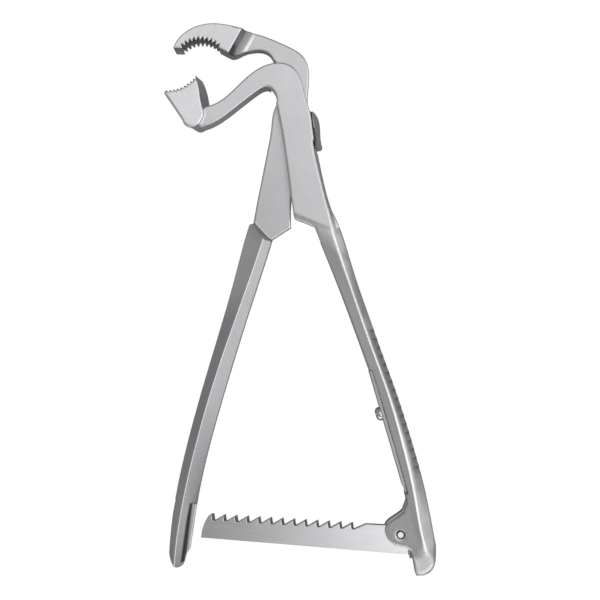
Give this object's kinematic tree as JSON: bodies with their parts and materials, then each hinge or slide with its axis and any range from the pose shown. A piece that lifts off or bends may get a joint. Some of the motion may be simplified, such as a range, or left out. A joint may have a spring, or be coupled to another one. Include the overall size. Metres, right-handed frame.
{
  "type": "bone holding forceps",
  "caption": "Bone holding forceps with offset toothed jaws on a flush pivot, long ridged handles and a toothed ratchet bar hung on one handle that runs through a slot in the other.",
  "frame": {"origin": "on the axis of the main pivot, in the plane of the flat backs of both halves", "axes": "+Z from the flat backs to the fronts, along the pivot axis; +Y from the pivot towards the jaws; +X towards the handle with the ratchet bar"},
  "size_m": [0.0941, 0.1907, 0.0094],
  "materials": {
    "forged_steel": "satin, fine brushing along the handles",
    "bar_steel": "satin, brushed along the bar",
    "spring_steel": "bright rolled strip",
    "pin_steel": "ground flush, satin",
    "screw_steel": "turned and polished"
  },
  "bodies": {
    "back_half": {"back_member": "forged_steel"},
    "front_half": {"front_member": "forged_steel", "pivot_pin": "pin_steel", "bar_rivet": "pin_steel", "leaf_spring": "spring_steel", "spring_screw": "screw_steel"},
    "bar": {"ratchet_bar": "bar_steel"}
  },
  "joints": [
    {"name": "main_pivot", "type": "hinge", "parent": "back_half", "child": "front_half", "pos_m": [0, 0, 0], "axis": [0, 0, -1], "range_deg": [0, 19.5]},
    {"name": "bar_pivot", "type": "hinge", "parent": "front_half", "child": "bar", "pos_m": [0.0366, -0.1457, 0.0043], "axis": [0, 0, 1], "range_deg": [0, 6], "stiffness_Nm_per_rad": 0.2, "springref_deg": -5.73}
  ]
}
